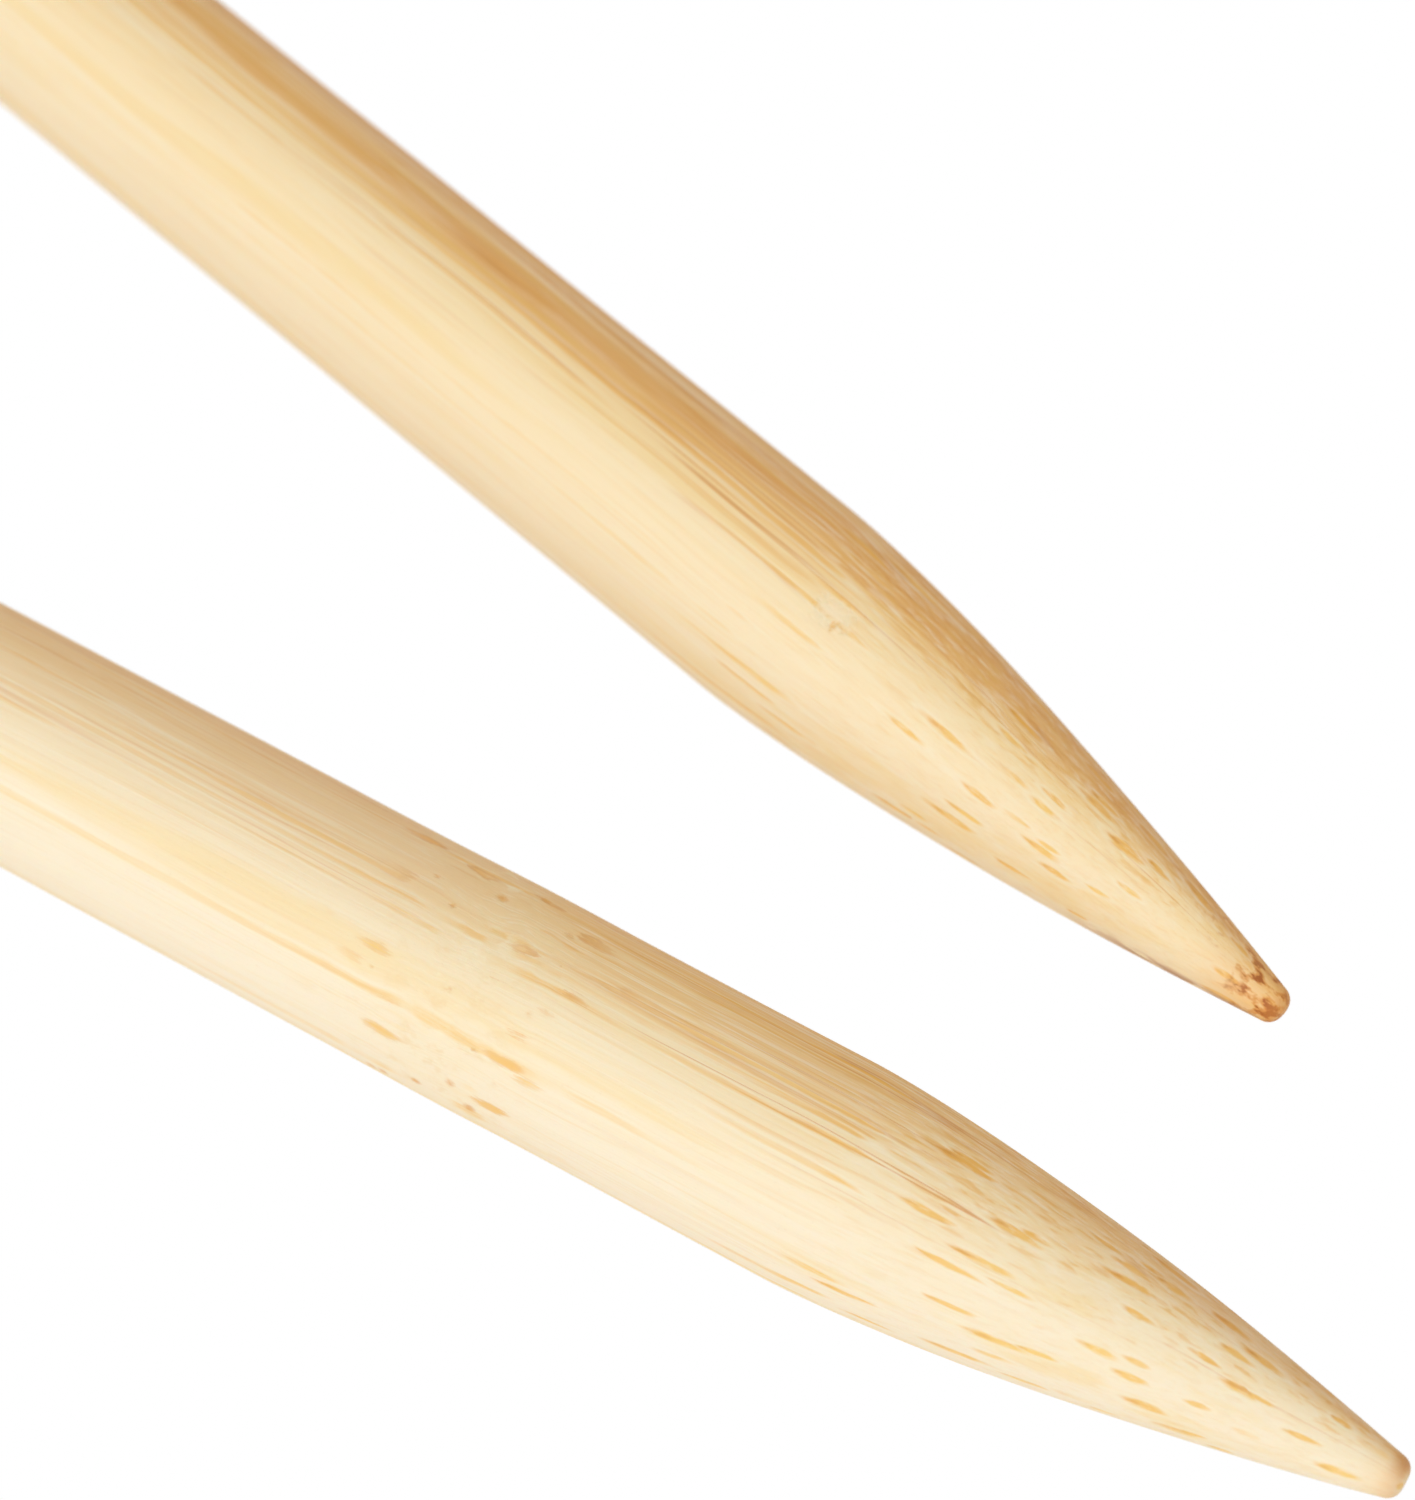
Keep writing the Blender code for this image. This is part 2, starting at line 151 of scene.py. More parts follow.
class Graph:
    """Writes the nodes of a material or world, and holds the colour painted so far."""

    def __init__(self, owner):
        self.owner = owner
        owner.use_nodes = True
        self.tree = owner.node_tree
        self.tree.nodes.clear()
        self.colour = None

    def put(self, socket, value):
        if isinstance(value, Value):
            value = value.socket
        if isinstance(value, bpy.types.NodeSocket):
            self.tree.links.new(value, socket)
        elif value is not None:
            socket.default_value = value

    def node(self, kind, inputs=None, **props):
        made = self.tree.nodes.new(kind)
        for key, value in props.items():
            setattr(made, key, value)
        for key, value in (inputs or {}).items():
            self.put(made.inputs[key], value)
        return made

    def value(self, kind, inputs=None, output=0, **props):
        return Value(self, self.node(kind, inputs, **props).outputs[output])

    def math(self, operation, first, second=None, clamp=False):
        inputs = {0: first, 1: second}
        return self.value("ShaderNodeMath", inputs, operation=operation, use_clamp=clamp)

    def vector(self, operation, first, second=None, scale=None):
        inputs = {0: first, 1: second}
        if scale is not None:
            inputs["Scale"] = scale
        output = "Value" if operation in ("DOT_PRODUCT", "DISTANCE") else "Vector"
        return self.value("ShaderNodeVectorMath", inputs, output, operation=operation)

    def xyz(self, x, y, z):
        return self.value("ShaderNodeCombineXYZ", {"X": x, "Y": y, "Z": z})

    def split(self, vector):
        parts = self.node("ShaderNodeSeparateXYZ", {0: vector}).outputs
        return tuple(Value(self, part) for part in parts)

    def grain(self):
        """Stored coordinates: across, up, along."""
        return self.split(
            self.value("ShaderNodeAttribute", output="Vector", attribute_name="grain")
        )

    def object_mm(self):
        where = self.value("ShaderNodeTexCoord", output="Object")
        return self.vector("SCALE", where, scale=1 / MM)

    def noise(self, vector, scale=1.0, detail=2.0, rough=0.5, output="Fac"):
        inputs = {"Vector": vector, "Scale": scale, "Detail": detail, "Roughness": rough}
        return self.value("ShaderNodeTexNoise", inputs, output)

    def stretch(self, place, cross, along, shift=(0, 0, 0)):
        """Scales a place by cross in its section and by along lengthwise, then shifts it."""
        parts = []
        for part, scale, offset in zip(place, (cross, cross, along), shift):
            part = part * scale
            parts.append(part + offset if offset else part)
        return self.xyz(*parts)

    def pattern(self, place, cross, along, shift=(0, 0, 0), **settings):
        """Noise with its own scales across and along the piece."""
        return self.noise(self.stretch(place, cross, along, shift), **settings)

    def cells(self, where, randomness, **props):
        """Distance, colour and position of the nearest Voronoi cell."""
        inputs = {"Vector": where, "Scale": 1.0, "Randomness": randomness}
        made = self.node("ShaderNodeTexVoronoi", inputs, feature="F1", **props)
        return [Value(self, made.outputs[key]) for key in ("Distance", "Color", "Position")]

    def mix(self, share, first, second):
        inputs = {0: share, 6: first, 7: second}
        return self.value("ShaderNodeMix", inputs, output=2, data_type="RGBA")

    def paint(self, tint, where, strength=None):
        share = where if strength is None else where * strength
        self.colour = self.mix(share, self.colour, tint)

    def bump(self, height, metres):
        inputs = {"Height": height, "Distance": metres, "Strength": 1.0}
        return self.value("ShaderNodeBump", inputs)

    def finish(self, **inputs):
        """Joins the painted colour and the inputs to the surface; returns the material."""
        named = {key.replace("_", " "): value for key, value in inputs.items()}
        surface = self.value("ShaderNodeBsdfPrincipled", {"Base Color": self.colour, **named})
        self.node("ShaderNodeOutputMaterial", {0: surface})
        return self.owner


# ======================================================================================
# Bamboo
# ======================================================================================
# the way the side away from the light faces, as (across, up)
LEE_ANGLE = math.radians(18.5)
LEE = (math.cos(LEE_ANGLE), math.sin(LEE_ANGLE))
LIT = (-LEE[0], -LEE[1])


class Wood(Graph):
    """Solid bamboo: its coordinates, shared patterns, colour and surface height."""

    def __init__(self, name, seed, joint_at):
        super().__init__(bpy.data.materials.new(name))
        across, up, along = self.solid = self.grain()
        self.along = along
        self.back = TIP_LENGTH - along
        self.axis_distance = self.math("SQRT", across * across + up * up)
        safe = self.math("MAXIMUM", self.axis_distance, 0.2)
        self.outward = (across / safe, up / safe)
        self.shift = (seed * 17.3, seed * 5.1, seed * 31.7)
        self.joint = None
        self.lay_fibres(joint_at)

    def facing(self, way):
        """1 where the surface faces the given (across, up) way, and -1 where it faces away."""
        return self.outward[0] * way[0] + self.outward[1] * way[1]

    def wobble(self, reach, cross, along, shift, **settings):
        """A wandering vector, up to half of reach each way."""
        noise = self.pattern(self.solid, cross, along, shift, output="Color", **settings)
        return self.vector(
            "SCALE", self.vector("SUBTRACT", noise, (0.5, 0.5, 0.5)), scale=reach
        )

    def bell(self, square, spread):
        """A bump that falls off with a squared distance."""
        return self.math("POWER", 2.718, square * (-1.0 / spread))

    def lay_fibres(self, joint_at):
        """The fibres wander a little, and swirl at the stem's joint."""
        across, up, along = self.solid
        shift = self.shift
        wander = self.wobble(0.85, cross=0.16, along=0.030, shift=(shift[0], shift[1], 0))
        quick = self.wobble(0.28, cross=0.45, along=0.11, shift=(shift[1], 0, shift[0]), detail=1.0)
        wander = self.vector("ADD", wander, quick)
        if joint_at is not None:
            ragged = self.noise(self.xyz(across * 0.25, up * 0.25, 3.0))
            self.off_joint = along + (ragged - 0.5) * 9.0 - joint_at
            self.joint = self.near_joint(spread=13.0)
            swirl = self.wobble(
                self.joint * 0.85, cross=0.55, along=0.33, shift=(shift[2], 0, 0), rough=0.55
            )
            wander = self.vector("ADD", wander, swirl)
        self.wander = self.split(wander)[:2]
        self.fibre = (across + self.wander[0], up + self.wander[1], along)

    def near_joint(self, spread):
        return self.bell(self.off_joint * self.off_joint, spread)

    def calm(self, noise):
        """Flattens a noise at the stem's joint, and less so behind it."""
        return 0.5 + (noise - 0.5) * self.calmness if self.joint else noise

    def measure(self, wall_and_shade_angle, browner):
        """Patterns shared by the layers; tissue browns towards the stem's outside, which is set on
        the side away from the light, so this browning is partly painted shade.
        """
        fibre = self.fibre
        wall = (math.cos(math.radians(wall_and_shade_angle)), math.sin(math.radians(wall_and_shade_angle)))
        inside = (fibre[0] * wall[0] + fibre[1] * wall[1]) / SHAFT_R
        # runs from -1 to 1 across the needle, half by place in the stem and half by which way the
        # surface faces; the facing half paints shade on the side away from the light
        self.depth_and_shade = inside * 0.50 + self.facing(wall) * 0.50
        self.broad = self.pattern(
            fibre, cross=0.30, along=0.018, shift=(0, 0, self.shift[1]), detail=3.0, rough=0.55
        )
        self.lines = self.pattern(fibre, cross=2.1, along=0.030, detail=3.0, rough=0.6)
        self.fine = self.pattern(fibre, cross=8.5, along=0.13, detail=3.0, rough=0.62)
        self.grit = self.pattern(self.solid, cross=11.0, along=5.0, rough=0.6)
        if self.joint:
            self.behind = self.along.ramp(start=84.0, full=77.0)
            self.calmness = (1.0 - self.joint * 0.80) * (1.0 - self.behind * 0.40)
            self.lines = self.calm(self.lines)
        streaks = (self.lines - 0.5) * 0.95 + (self.broad - 0.5) * 0.75
        self.drift = self.depth_and_shade + streaks + browner
        # towards the stem's outside, which is also the side away from the light, so this mask
        # partly paints shade
        self.outer_and_shade = self.drift.ramp(start=0.30, full=1.05)
        self.middle = self.drift.ramp(start=-0.30, full=0.60)
        self.taper = self.back.ramp(start=34.0, full=20.0)

    def ground(self, pale, cream, honey, tan, rim):
        """Pale to tan across the needle, with yellow drifts and fine and amber streaks; the tan
        lies on the side away from the light and is partly painted shade.
        """
        drift, middle, fine = self.drift, self.middle, self.fine
        yellow = self.pattern(
            self.fibre, cross=0.75, along=0.022, shift=(self.shift[2], 0, 0), detail=3.0, rough=0.6
        )
        self.colour = self.mix(drift.ramp(start=-0.85, full=0.10), pale, cream)
        self.paint(srgb(251, 221, 158), yellow.ramp(start=0.50, full=0.70), strength=0.55)
        self.paint(honey, drift.ramp(start=-0.15, full=0.80), strength=0.92)
        # partly painted shade: tan on the side away from the light, over the stem's own browning
        self.paint(tan, self.outer_and_shade, strength=rim)
        self.paint(honey, fine.ramp(start=0.50, full=0.72), strength=0.24 + middle * 0.30)
        self.paint(pale, fine.ramp(start=0.50, full=0.28), strength=0.24 + middle * 0.26)
        amber = self.calm(self.pattern(
            self.fibre, cross=4.4, along=0.045, shift=(self.shift[0], 0, 0), rough=0.55
        ))
        self.paint(
            srgb(238, 186, 100), amber.ramp(start=0.55, full=0.68),
            strength=0.10 + drift.ramp(start=-0.25, full=0.65) * 0.62,
        )
        self.paint(pale, amber.ramp(start=0.44, full=0.32), strength=middle * 0.42)
        dark_lines = self.lines.ramp(start=0.56, full=0.72)
        self.paint(srgb(214, 148, 72), dark_lines, strength=self.outer_and_shade * 0.50)

    def hairs(self):
        """Hair-thin brown lines on the surface that stop and start, mostly towards the stem's
        outside, on the side away from the light.
        """
        surface = [out * SHAFT_R + off * 0.7 for out, off in zip(self.outward, self.wander)]
        self.skin = (*surface, self.along)
        hair = self.pattern(
            self.skin, cross=1.35, along=0.010, shift=(self.shift[2], 0, 0), detail=1.0, rough=0.4
        )
        broken = self.pattern(
            self.skin, cross=1.5, along=0.085, shift=(self.shift[0], 0, 0), detail=1.0
        )
        thin = abs(hair - 0.5).ramp(start=0.022, full=0.004)
        by_wall = 0.06 + self.depth_and_shade.ramp(start=-0.10, full=0.40) * 0.64
        thin = thin * broken.ramp(start=0.48, full=0.62) * by_wall
        if self.joint:
            thin = thin * ((1.0 - self.joint) * (1.0 - self.behind * 0.65))
            self.paint(srgb(244, 216, 180), self.behind, strength=self.middle * 0.32)
        self.paint(srgb(218, 146, 66), thin)

    def bundles(self, cell, radii, strength, dark, more=0.0, chop=0.0, halo=None):
        """Fibre bundles, one to a cell, cut along as streaks and across as flecks.

        more adds bundles and chop shortens them; halo is the tint of a pale ring around each.
        Returns their cover, their dark cores and a random tone for each.
        """
        across, up, along = self.fibre
        where = self.xyz((across + self.shift[0]) / cell, (up + self.shift[1]) / cell, 0.0)
        centre, chance, position = self.cells(where, 0.92, voronoi_dimensions="2D")
        size, luck, tone = self.split(chance)
        cell_place = (*self.split(position)[:2], along)
        rough = self.pattern(self.fibre, cross=3.6, along=0.55, rough=0.6)
        distance = centre * cell + (rough - 0.5) * 0.16
        radius = size.between(*radii) * (1.0 + self.math("MULTIPLY", chop, 0.5))
        body = (distance / radius).ramp(start=1.20, full=0.50)
        body = body * self.fine.ramp(start=0.30, full=0.56, low=0.45)
        life = self.pattern(cell_place, cross=3.7, along=0.085, detail=1.0)
        short = self.pattern(cell_place, cross=2.9, along=0.42, detail=1.0)
        life = life + (short - life) * chop
        alive = (life + more + (luck - 0.5) * 0.45).ramp(start=0.40, full=0.58)
        cover = body * alive * strength
        # the side of each bundle away from the needle's axis is darker
        moved = self.xyz(
            (across - self.outward[0] * 0.13 + self.shift[0]) / cell,
            (up - self.outward[1] * 0.13 + self.shift[1]) / cell,
            0.0,
        )
        moved_centre = self.cells(moved, 0.92, voronoi_dimensions="2D")[0]
        moved_distance = moved_centre * cell + (rough - 0.5) * 0.14
        core = (moved_distance / radius).ramp(start=0.72, full=0.20)
        core = core * alive * body * dark
        if halo:
            ring = (distance / radius).ramp(start=2.1, full=1.3)
            ring = ring * (distance / radius).ramp(start=1.0, full=1.35)
            self.paint(halo, ring, strength=alive * 0.30)
        return cover, core, tone

    def toned(self, tone, brownness, light, dark):
        """A tint for each bundle or dash, darker in the browner wood."""
        share = self.math("ADD", tone * 0.5, self.middle * brownness, clamp=True)
        return self.mix(share, light, dark)

    def large_bundles(self, flecks):
        extra = self.taper * flecks + self.outer_and_shade * 0.20
        more = self.taper * 0.10
        chop = 0.0
        if self.joint:
            chop = self.near_joint(spread=42.0)
            extra = extra + chop * 0.40
            more = more + chop * -0.15
        self.cover, self.core, tone = self.bundles(
            cell=0.74, radii=(0.105, 0.19), strength=0.26 + extra,
            dark=0.25 + self.taper * 0.60, more=more, chop=chop, halo=srgb(255, 242, 214),
        )
        tint = self.toned(tone, 0.6, light=srgb(252, 210, 118), dark=srgb(242, 182, 80))
        self.paint(tint, self.math("MINIMUM", self.cover, 0.86))
        self.paint(srgb(216, 142, 56), self.core, strength=0.36 + self.middle * 0.46)

    def joint_dashes(self):
        """Swollen bundles that turn outwards beside the joint, cut as thick amber dashes."""
        ridge = 2.6  # from the joint's middle to the middle of each band of dashes
        square = (abs(self.off_joint) - ridge) * (abs(self.off_joint) - ridge)
        beside = self.math("MINIMUM", self.bell(square, spread=5.0) * 1.25, 1.0)
        width, length = 1.15, 3.9
        where = self.xyz(
            (self.skin[0] + self.wander[0] + self.shift[1]) / width,
            (self.skin[1] + self.wander[1] + self.shift[2]) / width,
            self.along / length,
        )
        centre, chance, _ = self.cells(where, randomness=0.95)
        size, luck, tone = self.split(chance)
        ragged = (self.fine - 0.5) * 0.34 + (self.grit - 0.5) * 0.10
        dash = (centre + ragged).ramp(start=size.between(0.20, 0.40), full=0.10)
        dash = dash * luck.ramp(start=0.24, full=0.34) * beside
        tint = self.toned(tone, 0.5, light=srgb(250, 206, 108), dark=srgb(240, 174, 76))
        self.paint(tint, dash, strength=0.88)
        edge = abs(centre + ragged - size.between(0.13, 0.27)).ramp(start=0.07, full=0.02)
        self.paint(
            srgb(214, 138, 56), edge * luck.ramp(start=0.24, full=0.34),
            strength=beside * (0.12 + self.middle * 0.30),
        )

    def small_bundles(self):
        """Smaller, closer bundles towards the outside of the stem."""
        cover, core, _ = self.bundles(
            cell=0.50, radii=(0.06, 0.12), strength=0.05 + self.outer_and_shade * 0.55, dark=self.outer_and_shade * 0.8
        )
        self.paint(srgb(228, 168, 92), self.math("MINIMUM", cover, 0.9))
        self.paint(srgb(200, 130, 66), core, strength=0.5)

    def relief(self):
        fibres = self.fine * 0.9 + self.lines * 0.8
        self.height = fibres + self.grit * 0.22 - self.cover * 0.35

    def joint_ridge(self):
        """The stem's joint: a pale mottled ridge with brown pits."""
        joint = self.joint
        where = self.stretch(self.fibre, cross=1.05, along=0.80)
        centre, chance, _ = self.cells(where, randomness=1.0)
        size, luck, _ = self.split(chance)
        ragged = (self.grit - 0.5) * 0.22
        pit = (centre + ragged).ramp(start=size.between(0.16, 0.34), full=0.06)
        pit = pit * (luck.ramp(start=0.42, full=0.56) * joint.ramp(start=0.15, full=0.60))
        mottled = self.pattern(self.fibre, cross=1.3, along=0.9, detail=3.0, rough=0.6)
        self.paint(srgb(250, 230, 190), joint, strength=0.25)
        self.paint(srgb(242, 208, 150), mottled.ramp(start=0.52, full=0.72), strength=joint * 0.38)
        self.paint(srgb(234, 172, 88), pit, strength=0.75)
        crest = self.near_joint(spread=1.44)
        self.paint(srgb(255, 240, 206), mottled.ramp(start=0.46, full=0.30), strength=crest * 0.5)
        self.height = self.height - pit * 1.2 + joint * (mottled * 0.9) + self.core * 0.4

    def dent(self, place):
        """A small pale dent with a yellow spot beside it."""
        across, up, along = [part - middle for part, middle in zip(self.solid, place)]
        along = along * 0.6
        ragged = (self.noise(self.xyz(*self.solid), scale=3.2, rough=0.6) - 0.5) * 0.9
        reach = self.math("SQRT", across * across + up * up + along * along) + ragged
        hollow = reach.ramp(start=0.85, full=0.25)
        self.paint(srgb(252, 232, 196), hollow, strength=0.75)
        spot_at = (place[0] - 0.35, place[1] - 0.2, place[2] + 0.55)
        spot = self.vector("DISTANCE", self.xyz(*self.solid), spot_at) + ragged
        self.paint(srgb(240, 190, 104), spot.ramp(start=0.46, full=0.16), strength=0.8)
        self.height = self.height - hollow * 2.2

    def burnt_end_and_painted_shade(self):
        """Browned specks with amber edges, on the blunt end and just behind it; on the side away
        from the light they are denser and reach further back, which is painted shade.
        """
        back = self.back
        coarse = self.pattern(self.solid, cross=1.9, along=0.80, detail=3.0, rough=0.60)
        shade_side = self.facing(LEE).ramp(start=-0.15, full=0.85)
        # painted shade: the specks grow denser and reach further on the side away from the light
        specks = coarse + (back.ramp(start=4.6, full=0.0) * 0.09 + shade_side * 0.05)
        reach = back.ramp(start=3.4 + shade_side * 3.4, full=1.2 + shade_side * 1.6)
        self.paint(srgb(242, 184, 98), back.ramp(start=5.0, full=0.3), strength=0.62)
        self.paint(srgb(222, 150, 66), specks.ramp(start=0.55, full=0.63), strength=reach * 0.78)
        self.paint(srgb(172, 92, 36), specks.ramp(start=0.62, full=0.69), strength=reach * 0.88)
        edge = self.facing(LIT).ramp(start=0.86, full=0.99)
        stain = self.pattern(self.solid, cross=1.6, along=0.5, rough=0.6)
        edge = edge * stain.ramp(start=0.38, full=0.55) * back.ramp(start=11.0, full=5.0)
        self.paint(srgb(176, 116, 72), edge, strength=0.75)
        self.paint(srgb(218, 146, 68), back.ramp(start=0.9, full=0.1), strength=0.45)

    def plain_end_and_painted_shade(self):
        """A slightly browner blunt end with a brown ring round its edge; the ring is stronger on
        the side away from the light, which is painted shade.
        """
        back = self.back
        self.paint(srgb(242, 200, 132), back.ramp(start=2.4, full=0.2), strength=0.40)
        ring = back.ramp(start=1.1, full=0.30) * self.axis_distance.ramp(start=0.40, full=0.85)
        shade_side = self.facing(LEE).ramp(start=-0.3, full=0.9, low=0.25, high=0.80)
        # painted shade: the ring is stronger on the side away from the light
        self.paint(srgb(208, 142, 78), ring, strength=shade_side)

    def browning_and_painted_shade(self):
        """Painted shade: browner on the side away from the light towards the point. Also browner at
        the butt, with specks all over.
        """
        shade_side = self.facing(LEE).ramp(start=0.45, full=1.0)
        painted_shade_by_point = shade_side * self.back.ramp(start=24.0, full=8.0)
        # painted shade: brown on the side away from the light, near the point
        self.paint(srgb(214, 150, 82), painted_shade_by_point, strength=0.42)
        self.paint(srgb(214, 168, 104), self.along.ramp(start=7.0, full=0.0), strength=0.35)
        self.paint(srgb(214, 168, 112), self.grit.ramp(start=0.58, full=0.80), strength=0.10)


def bamboo_material(
    name, seed, wall_and_shade_angle, pale, cream, honey, tan, rim, flecks,
    browner=0.0, joint_at=None, burnt=False, dent_at=None,
):
    """The angle is the way to the stem's outside, in degrees from across towards up; it is set on
    the side away from the light, so the tan towards it is partly painted shade.

    rim: strength of tan at that wall, a tan that is partly painted shade. flecks: extra strength of
    the bundles on the taper.
    """
    wood = Wood(name, seed, joint_at)
    wood.measure(wall_and_shade_angle, browner)
    wood.ground(pale, cream, honey, tan, rim)
    wood.hairs()
    wood.large_bundles(flecks)
    if joint_at is not None:
        wood.joint_dashes()
    wood.small_bundles()
    wood.relief()
    if joint_at is not None:
        wood.joint_ridge()
    if dent_at is not None:
        wood.dent(dent_at)
    if burnt:
        wood.burnt_end_and_painted_shade()
    else:
        wood.plain_end_and_painted_shade()
    wood.browning_and_painted_shade()
    shine = 0.46 + (wood.fine - 0.5) * 0.20 + (wood.broad - 0.5) * 0.16
    return wood.finish(
        Roughness=wood.math("ADD", shine, wood.taper * 0.08, clamp=True),
        Specular_IOR_Level=0.32,
        Subsurface_Weight=0.22,
        Subsurface_Radius=(1.0, 0.62, 0.34),
        Subsurface_Scale=0.0006,
        Coat_Weight=0.05,
        Coat_Roughness=0.34,
        Normal=wood.bump(wood.height, metres=0.000026),
    )


# ======================================================================================
# Metal and plastics
# ======================================================================================
def metal_material(name, base, tarnish, roughness, ring_scale, made_here=True):
    """Turned metal: fine rings left by the tool, cloudy wear and a faint film."""
    graph = Graph(bpy.data.materials.new(name))
    if made_here:
        place = graph.grain()
    else:
        # the loaded pieces have no grain, so their own x serves as along
        x, y, z = graph.split(graph.object_mm())
        place = (y, z, x)
    rings = graph.noise(graph.xyz(0.0, 0.0, place[2] * ring_scale), detail=4.0, rough=0.72)
    arcs = graph.pattern(place, cross=0.9, along=ring_scale * 2.3, detail=3.0, rough=0.6)
    cloud = graph.noise(graph.xyz(*place), scale=0.55, detail=4.0, rough=0.6)
    scratch = graph.pattern(place, cross=6.0, along=0.7, rough=0.7)
    graph.colour = graph.mix(cloud.ramp(start=0.42, full=0.72), base, tarnish)
    graph.paint(tarnish, arcs.ramp(start=0.40, full=0.70), strength=0.22)
    rough = roughness + (arcs - 0.5) * 0.22 + cloud.ramp(start=0.45, full=0.75) * 0.12
    scratched = scratch.ramp(start=0.64, full=0.72) * 0.12
    height = rings * 1.0 + arcs * 0.5 - scratch.ramp(start=0.66, full=0.74) * 0.4
    return graph.finish(
        Metallic=1.0,
        Roughness=graph.math("ADD", rough, scratched, clamp=True),
        Normal=graph.bump(height, metres=0.000010),
    )


def nylon_material(name):
    """Extruded nylon: milky and slightly blue, with faint draw lines and cloudiness."""
    graph = Graph(bpy.data.materials.new(name))
    place = graph.grain()
    draw = graph.pattern(place, cross=5.0, along=0.05, detail=3.0, rough=0.6)
    cloud = graph.pattern(place, cross=0.5, along=0.12, detail=3.0, rough=0.55)
    scuff = graph.pattern(place, cross=4.0, along=1.6, detail=3.0, rough=0.7)
    cloudy = cloud.ramp(start=0.35, full=0.68)
    graph.colour = graph.mix(cloudy, srgb(226, 231, 232), srgb(212, 220, 223))
    graph.paint(srgb(238, 240, 238), draw.ramp(start=0.50, full=0.72), strength=0.35)
    rough = 0.22 + scuff.ramp(start=0.55, full=0.75) * 0.22
    return graph.finish(
        Roughness=graph.math("ADD", rough, (draw - 0.5) * 0.12, clamp=True),
        IOR=1.53,
        Coat_Weight=0.25,
        Coat_Roughness=0.12,
        Normal=graph.bump(draw * 0.8 + scuff * 0.4, metres=0.000010),
    )


def acetal_material(name):
    """Off-white plastic, lightly clouded and specked."""
    graph = Graph(bpy.data.materials.new(name))
    where = graph.object_mm()
    speck = graph.noise(where, scale=5.0, detail=3.0, rough=0.6)
    cloud = graph.noise(where, scale=0.9, detail=3.0, rough=0.55)
    cloudy = cloud.ramp(start=0.35, full=0.7)
    graph.colour = graph.mix(cloudy, srgb(238, 237, 230), srgb(226, 224, 214))
    graph.paint(srgb(206, 203, 192), speck.ramp(start=0.60, full=0.80), strength=0.25)
    return graph.finish(
        Roughness=0.48 + (speck - 0.5) * 0.2,
        Subsurface_Weight=0.15,
        Subsurface_Scale=0.0004,
        Normal=graph.bump(speck, metres=0.000012),
    )


BAMBOO = {
    "right": bamboo_material(
        "bamboo_right", seed=1.0, wall_and_shade_angle=26.0,
        pale=srgb(254, 239, 214), cream=srgb(253, 234, 199),
        honey=srgb(249, 218, 160), tan=srgb(238, 186, 116),
        rim=0.88, flecks=0.74, browner=-0.11, joint_at=STEM_JOINT_AT,
    ),
    "left": bamboo_material(
        "bamboo_left", seed=2.37, wall_and_shade_angle=16.0,
        pale=srgb(255, 237, 204), cream=srgb(254, 229, 184),
        honey=srgb(250, 210, 140), tan=srgb(230, 162, 76),
        rim=0.98, flecks=0.62, burnt=True, dent_at=(-0.6, 4.55, 100.2),
    ),
}
NICKEL = metal_material(
    "nickel_plate", base=srgb(214, 211, 204), tarnish=srgb(188, 182, 170),
    roughness=0.26, ring_scale=9.0,
)
STEEL = metal_material(
    "turned_steel", base=srgb(196, 197, 199), tarnish=srgb(168, 168, 168),
    roughness=0.30, ring_scale=12.0,
)
BRASS = metal_material(
    "turned_brass", base=srgb(226, 188, 110), tarnish=srgb(188, 142, 76),
    roughness=0.30, ring_scale=10.0, made_here=False,
)
NYLON = nylon_material("milky_nylon")
ACETAL = acetal_material("white_acetal")


# ======================================================================================
# Turned pieces
# ======================================================================================
def filleted(profile):
    """Rounds a profile of (radius, height, fillet) points; a fillet of 0 keeps the corner."""
    steps = 5
    rounded = []
    for i, (radius, height, fillet) in enumerate(profile):
        corner = np.array([radius, height])
        if fillet <= 0.0 or i in (0, len(profile) - 1):
            rounded.append(corner)
            continue
        before = np.array(profile[i - 1][:2]) - corner
        after = np.array(profile[i + 1][:2]) - corner
        before_length, after_length = np.linalg.norm(before), np.linalg.norm(after)
        fillet = min(fillet, 0.48 * before_length, 0.48 * after_length)
        start = corner + before / before_length * fillet
        end = corner + after / after_length * fillet
        for k in range(steps + 1):
            t = k / steps
            rounded.append((1 - t) ** 2 * start + 2 * t * (1 - t) * corner + t * t * end)
    return rounded


def mesh_piece(name, grain, placed, faces, material, sharp):
    """A smooth mesh with edges sharper than the given degrees kept."""
    mesh = bpy.data.meshes.new(name)
    mesh.from_pydata([tuple(point) for point in placed], [], faces)
    attribute = mesh.attributes.new("grain", "FLOAT_VECTOR", "POINT")
    attribute.data.foreach_set("vector", np.array(grain, np.float32).ravel())
    bm = bmesh.new()
    bm.from_mesh(mesh)
    bmesh.ops.recalc_face_normals(bm, faces=bm.faces[:])
    bm.to_mesh(mesh)
    bm.free()
    mesh.shade_smooth()
    mesh.set_sharp_from_angle(angle=math.radians(sharp))
    mesh.materials.append(material)
    obj = bpy.data.objects.new(name, mesh)
    bpy.context.scene.collection.objects.link(obj)
    return obj


